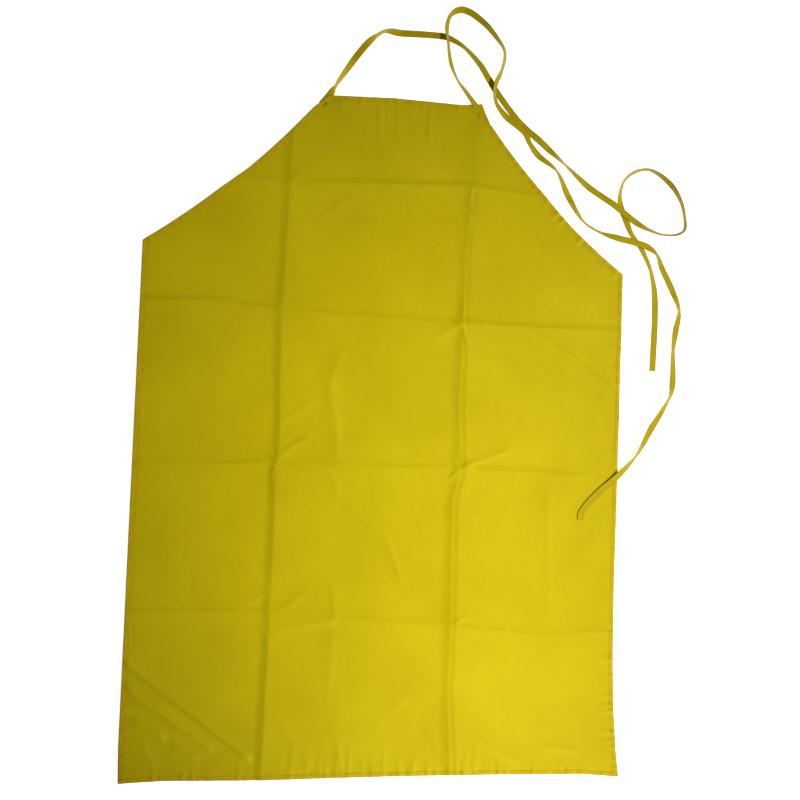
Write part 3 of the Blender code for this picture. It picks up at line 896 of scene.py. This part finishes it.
def make_tack(name, side, node, material):
    """A bar tack: close crossing threads over a tie's sewn-in end."""
    _, along, inward = bib_corner(side)
    low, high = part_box(node)
    centre = lay(np.array([((low.x + high.x) / 2, (low.y + high.y) / 2)]))[0]
    vertices = []
    faces = []
    for turn in range(TACK_BARS):
        place = centre + along * TACK_PITCH * (turn - TACK_BARS / 2)
        reach = inward * TACK_HALF_WIDTH * (1 if turn % 2 else -1)
        flat = place + STITCH_SHARES[:, None] * 2 * reach
        top = front_height(flat, edge_distance(flat)) + THREAD_RADIUS * 0.7 + STITCH_DIPS * STITCH_SINK
        tube(vertices, faces, np.column_stack((flat, top)), np.array((0.0, 0.0, 1.0)), STITCH_RADII)
    return new_mesh(name, np.vstack(vertices), faces, material)


# Materials. Colours are linear red, green, blue and opacity.

FACE_LIGHT = (0.67, 0.530, 0.005, 1)
FACE_DEEP = (0.52, 0.395, 0.002, 1)
BACK_LIGHT = (0.60, 0.47, 0.010, 1)
BACK_DEEP = (0.46, 0.36, 0.006, 1)
HEM_ORANGE = (0.60, 0.40, 0.003, 1)
# painted shade for the shadow side of the rolled edge
EDGE_SHADE_COLOUR = (0.30, 0.17, 0.004, 1)
WEAVE_PITCH = 0.0006
CREASE_MARK = 0.0035
EDGE_MARK = 0.0016
MARK_FADE = 0.0010


class Nodes:
    """A short way to write a material's node tree."""

    def __init__(self, name):
        self.material = bpy.data.materials.new(name)
        self.material.use_nodes = True
        self.tree = self.material.node_tree
        self.shader = self.tree.nodes["Principled BSDF"]

    def add(self, kind, settings=(), **inputs):
        """A node with its settings and inputs; an input may be a value or another node's output."""
        node = self.tree.nodes.new(kind)
        for key, value in dict(settings).items():
            setattr(node, key, value)
        for key, value in inputs.items():
            self.put(node.inputs[key.replace("_", " ")], value)
        return node

    def put(self, socket, value):
        """Set a socket or link it."""
        if isinstance(value, bpy.types.NodeSocket):
            self.tree.links.new(value, socket)
        else:
            socket.default_value = value

    def attribute(self, name):
        """A number stored on the mesh's vertices."""
        return self.add("ShaderNodeAttribute", {"attribute_name": name}).outputs["Fac"]

    def cloth_place(self):
        """The place on the flat cloth, in metres, which doesn't change as the cloth folds."""
        node = self.add("ShaderNodeCombineXYZ", X=self.attribute("cloth_x"), Y=self.attribute("cloth_y"))
        return node.outputs["Vector"]

    def math(self, operation, first, second):
        """A calculation with two numbers."""
        node = self.tree.nodes.new("ShaderNodeMath")
        node.operation = operation
        self.put(node.inputs[0], first)
        self.put(node.inputs[1], second)
        return node.outputs[0]

    def noise(self, vector, scale, detail=2.0, roughness=0.5):
        """Smooth noise between 0 and 1."""
        return self.add("ShaderNodeTexNoise", Vector=vector, Scale=scale, Detail=detail,
                        Roughness=roughness).outputs["Fac"]

    def spread(self, value, low, high):
        """A number from 0 to 1 mapped to low to high."""
        return self.add("ShaderNodeMapRange", Value=value, To_Min=low, To_Max=high).outputs["Result"]

    def mix(self, factor, first, second):
        """A colour between two colours."""
        node = self.tree.nodes.new("ShaderNodeMix")
        node.data_type = "RGBA"
        self.put(node.inputs["Factor"], factor)
        self.put(node.inputs["A"], first)
        self.put(node.inputs["B"], second)
        return node.outputs["Result"]

    def surface(self, colour, roughness, normal):
        """Give the shader its colour, roughness and normal, and return the material."""
        for name, value in (("Base Color", colour), ("Roughness", roughness), ("Normal", normal)):
            self.put(self.shader.inputs[name], value)
        return self.material

    def gloss(self, level, tint):
        """Set the strength and the tint of the shader's reflections."""
        self.shader.inputs["Specular IOR Level"].default_value = level
        self.shader.inputs["Specular Tint"].default_value = tint

    def bump(self, height, distance, normal=None):
        """A bump on the surface, on top of another where one is given."""
        node = self.add("ShaderNodeBump", Height=height, Distance=distance, Strength=1.0)
        if normal is not None:
            self.put(node.inputs["Normal"], normal)
        return node.outputs["Normal"]


def sines(nodes, vector, pitch, angle):
    """Threads of the given pitch in metres: a wave along one direction of the cloth."""
    turned = nodes.add("ShaderNodeMapping", Vector=vector, Rotation=(0.0, 0.0, angle))
    wave = nodes.add("ShaderNodeTexWave", {"wave_type": "BANDS", "bands_direction": "X"},
                     Vector=turned.outputs["Vector"], Scale=0.314 / pitch)
    return wave.outputs["Fac"]


def cloth_material(name, light, deep, orange, roughness, weave_pitch):
    """Coated woven nylon: fine weave, soft crumple, tone changes, painted shade along the creases and at the
    rolled edge, and a warmer hem.
    """
    nodes = Nodes(name)
    place = nodes.cloth_place()
    broad = nodes.noise(place, 7.0, 3.0)
    fine = nodes.noise(place, 90.0, 4.0, 0.6)
    tone = nodes.math("ADD", nodes.math("MULTIPLY", broad, 0.65), nodes.math("MULTIPLY", fine, 0.35))
    base = nodes.mix(nodes.spread(tone, -0.35, 1.35), deep, light)
    # painted shade: the cloth is darkened towards its deep tone along the creases
    crease_shade = nodes.math("MULTIPLY", nodes.attribute("crease"), nodes.noise(place, 160.0, 2.0))
    base = nodes.mix(nodes.math("MULTIPLY", crease_shade, 0.45), base, deep)
    hem = nodes.math("MULTIPLY", nodes.attribute("hem"), nodes.spread(fine, 0.25, 0.75))
    base = nodes.mix(hem, base, orange)
    # painted shade: a dark brown line along the cover's rolled edge
    base = nodes.mix(nodes.math("MULTIPLY", nodes.attribute("edge"), 0.6), base, EDGE_SHADE_COLOUR)
    nodes.gloss(0.35, (1.0, 0.82, 0.06, 1))
    warp = sines(nodes, place, weave_pitch, 0.0)
    weft = sines(nodes, place, weave_pitch, math.pi / 2)
    weave = nodes.math("MULTIPLY", warp, weft)
    crumple = nodes.noise(place, 38.0, 4.0, 0.55)
    return nodes.surface(base, nodes.spread(fine, roughness - 0.08, roughness + 0.08),
                         nodes.bump(weave, 0.00003, nodes.bump(crumple, 0.0004)))


def tape_material():
    """The ties' cloth: the covers' cloth folded, with painted shade along its two folded edges."""
    nodes = Nodes("tie_tape")
    place = nodes.cloth_place()
    tone = nodes.noise(place, 60.0, 4.0, 0.6)
    base = nodes.mix(nodes.spread(tone, -0.2, 1.2), (0.43, 0.31, 0.002, 1), (0.58, 0.44, 0.004, 1))
    # painted shade: the tape turns dark brown along its two folded edges
    edge = nodes.math("MULTIPLY", nodes.attribute("fold"), 0.6)
    base = nodes.mix(edge, base, (0.32, 0.21, 0.003, 1))
    nodes.gloss(0.35, (1.0, 0.78, 0.06, 1))
    weave = nodes.math("MULTIPLY", sines(nodes, place, 0.0007, 0.6), sines(nodes, place, 0.0007, 2.17))
    crumple = nodes.noise(place, 240.0, 3.0)
    return nodes.surface(base, nodes.spread(tone, 0.42, 0.62),
                         nodes.bump(weave, 0.00004, nodes.bump(crumple, 0.0004)))


def thread_material():
    """Spun thread with its plies winding round it."""
    nodes = Nodes("sewing_thread")
    place = nodes.add("ShaderNodeTexCoord").outputs["Object"]
    twist = sines(nodes, place, 0.0003, 0.8)
    tone = nodes.noise(place, 400.0, 2.0)
    base = nodes.mix(tone, (0.40, 0.24, 0.006, 1), (0.66, 0.46, 0.012, 1))
    return nodes.surface(base, nodes.spread(tone, 0.5, 0.7), nodes.bump(twist, 0.00005))


def vinyl_material():
    """Lead-loaded vinyl: matt dark grey with a faint calendered grain."""
    nodes = Nodes("lead_vinyl")
    place = nodes.add("ShaderNodeTexCoord").outputs["Object"]
    grain = nodes.noise(place, 500.0, 3.0)
    cloudy = nodes.noise(place, 12.0, 3.0)
    base = nodes.mix(cloudy, (0.045, 0.046, 0.050, 1), (0.085, 0.086, 0.092, 1))
    return nodes.surface(base, nodes.spread(grain, 0.5, 0.75), nodes.bump(grain, 0.00006))


# Stage.

def make_camera():
    """The camera of the photograph's view."""
    data = bpy.data.cameras.new("camera")
    data.lens = CAMERA_LENS
    data.sensor_width = CAMERA_SENSOR
    camera = put_in_scene("camera", data)
    camera.location = CAMERA_PLACE
    camera.rotation_mode = "ZYX"
    camera.rotation_euler = Euler([math.radians(angle) for angle in CAMERA_TURN], "ZYX")
    bpy.context.scene.camera = camera


def make_light(name, place, aim, size, spread, energy):
    """A square soft light with a limited beam that faces a place on the apron."""
    data = bpy.data.lights.new(name, "AREA")
    data.size = size
    data.spread = math.radians(spread)
    data.energy = energy
    light = put_in_scene(name, data)
    light.location = place
    light.rotation_mode = "QUATERNION"
    light.rotation_quaternion = (Vector(aim) - Vector(place)).to_track_quat("-Z", "Y")


def make_stage():
    """A plain white floor, a white world and two soft lights, from the right and from below."""
    half = FLOOR_HALF_SIDE
    floor = bpy.data.meshes.new("floor")
    floor.from_pydata([(-half, -half, 0), (half, -half, 0), (half, half, 0), (-half, half, 0)], [],
                      [(0, 1, 2, 3)])
    nodes = Nodes("floor")
    nodes.shader.inputs["Base Color"].default_value = (0.90, 0.90, 0.90, 1)
    nodes.shader.inputs["Roughness"].default_value = 0.8
    nodes.shader.inputs["Emission Color"].default_value = (1, 1, 1, 1)
    nodes.shader.inputs["Emission Strength"].default_value = 0.86
    floor.materials.append(nodes.material)
    put_in_scene("floor", floor)
    world = bpy.data.worlds.new("world")
    world.use_nodes = True
    background = world.node_tree.nodes["Background"]
    background.inputs["Color"].default_value = (1, 1, 1, 1)
    background.inputs["Strength"].default_value = 0.08
    bpy.context.scene.world = world
    make_light("side_light", (1.70, 0.12, 1.87), (0.08, 0.23, 0), size=0.5, spread=44.2, energy=2.90)
    make_light("low_light", (0.88, -1.42, 1.56), (0.14, -0.38, 0), size=0.5, spread=36.6, energy=2.10)
    bpy.context.scene.view_settings.view_transform = "Standard"


# The apron.

def bend_at_fold(piece):
    """Bake the placement of a piece that crosses the crease into its mesh."""
    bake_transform(piece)


def make_ties(tape_cloth, thread):
    """Both neck ties with their stitches."""
    for label, route, way_out in (("left", LEFT_TIE_ROUTE, LEFT_TIE_EXIT),
                                  ("right", RIGHT_TIE_ROUTE, RIGHT_TIE_EXIT)):
        tape, middle, across, face, length = make_tape(label + "_tie_tape", route, tape_cloth)
        stitches = make_tape_stitches(label + "_tie_stitches", middle, across, face, thread)
        for piece in (tape, stitches):
            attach(piece, "root")
        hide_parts(label + "_neck_tie")


def make_seams(thread):
    """The hem's stitches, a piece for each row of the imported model."""
    rows = (
        ("top_hem", "top_hem_seam", seam_line(TOP_EDGE), False),
        ("right_armhole", "right_armhole_seam", seam_line(*RIGHT_ARM_EDGES), False),
        ("right_side", "right_side_seam", seam_line(RIGHT_SIDE_EDGE), False),
        ("left_side", "left_side_seam", seam_line(LEFT_SIDE_EDGE), True),
        ("bottom_hem", "bottom_hem_seam", seam_line(BOTTOM_EDGE, first_x=FOLD_X), True),
        ("bottom_hem_left", "bottom_hem_seam_left_panel", seam_line(BOTTOM_EDGE, last_x=FOLD_X), True),
        ("left_armhole", "left_armhole_seam", seam_line(*LEFT_ARM_EDGES, first_x=FOLD_X), True),
        ("left_armhole_low", "left_armhole_seam_left_panel",
         seam_line(*LEFT_ARM_EDGES, last_x=FOLD_X), True),
    )
    for name, node, line, bends in rows:
        piece = make_seam(name + "_stitches", line, thread)
        if bends:
            bend_at_fold(piece)
        else:
            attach(piece, "root")
        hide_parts(node)
    for side, label in ((-1, "left"), (1, "right")):
        tack = make_tack(label + "_bar_tack", side, label + "_tie_tack", thread)
        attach(tack, "root")
        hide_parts(label + "_tie_tack")


def make_layers():
    """The two covers and the two lead-vinyl plies between them."""
    face_cloth = cloth_material("cover_cloth", FACE_LIGHT, FACE_DEEP, HEM_ORANGE, 0.46, WEAVE_PITCH)
    back_cloth = cloth_material("back_cloth", BACK_LIGHT, BACK_DEEP, HEM_ORANGE, 0.60, WEAVE_PITCH)
    vinyl = vinyl_material()
    front = make_front(face_cloth)
    back = make_back(back_cloth)
    inner_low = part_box("core_inner_ply")[0].z
    outer_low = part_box("core_outer_ply")[0].z
    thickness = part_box("core_outer_ply")[1].z - outer_low
    inner = make_ply("inner_vinyl_ply", inner_low, thickness, vinyl)
    outer = make_ply("outer_vinyl_ply", outer_low, thickness, vinyl)
    width = 2 * HALF_WIDTH
    length = 2 * HALF_LENGTH
    turned = 2 * (HEM_WIDTH + 0.001)
    rows = (
        (front, "front_cover", "cover_cloth", (width + turned, length + turned), 0.750),
        (back, "back_cover", "back_cloth", (width, length), 0.700),
        (inner, "core_inner_ply", "lead_vinyl", (width, length), 0.690),
        (outer, "core_outer_ply", "lead_vinyl", (width, length), 0.690),
    )
    for piece, node, slot, flat, area in rows:
        bend_at_fold(piece)
        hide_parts(node, node + "_left_panel")


make_camera()
make_stage()
thread = thread_material()
make_ties(tape_material(), thread)
make_seams(thread)
make_layers()
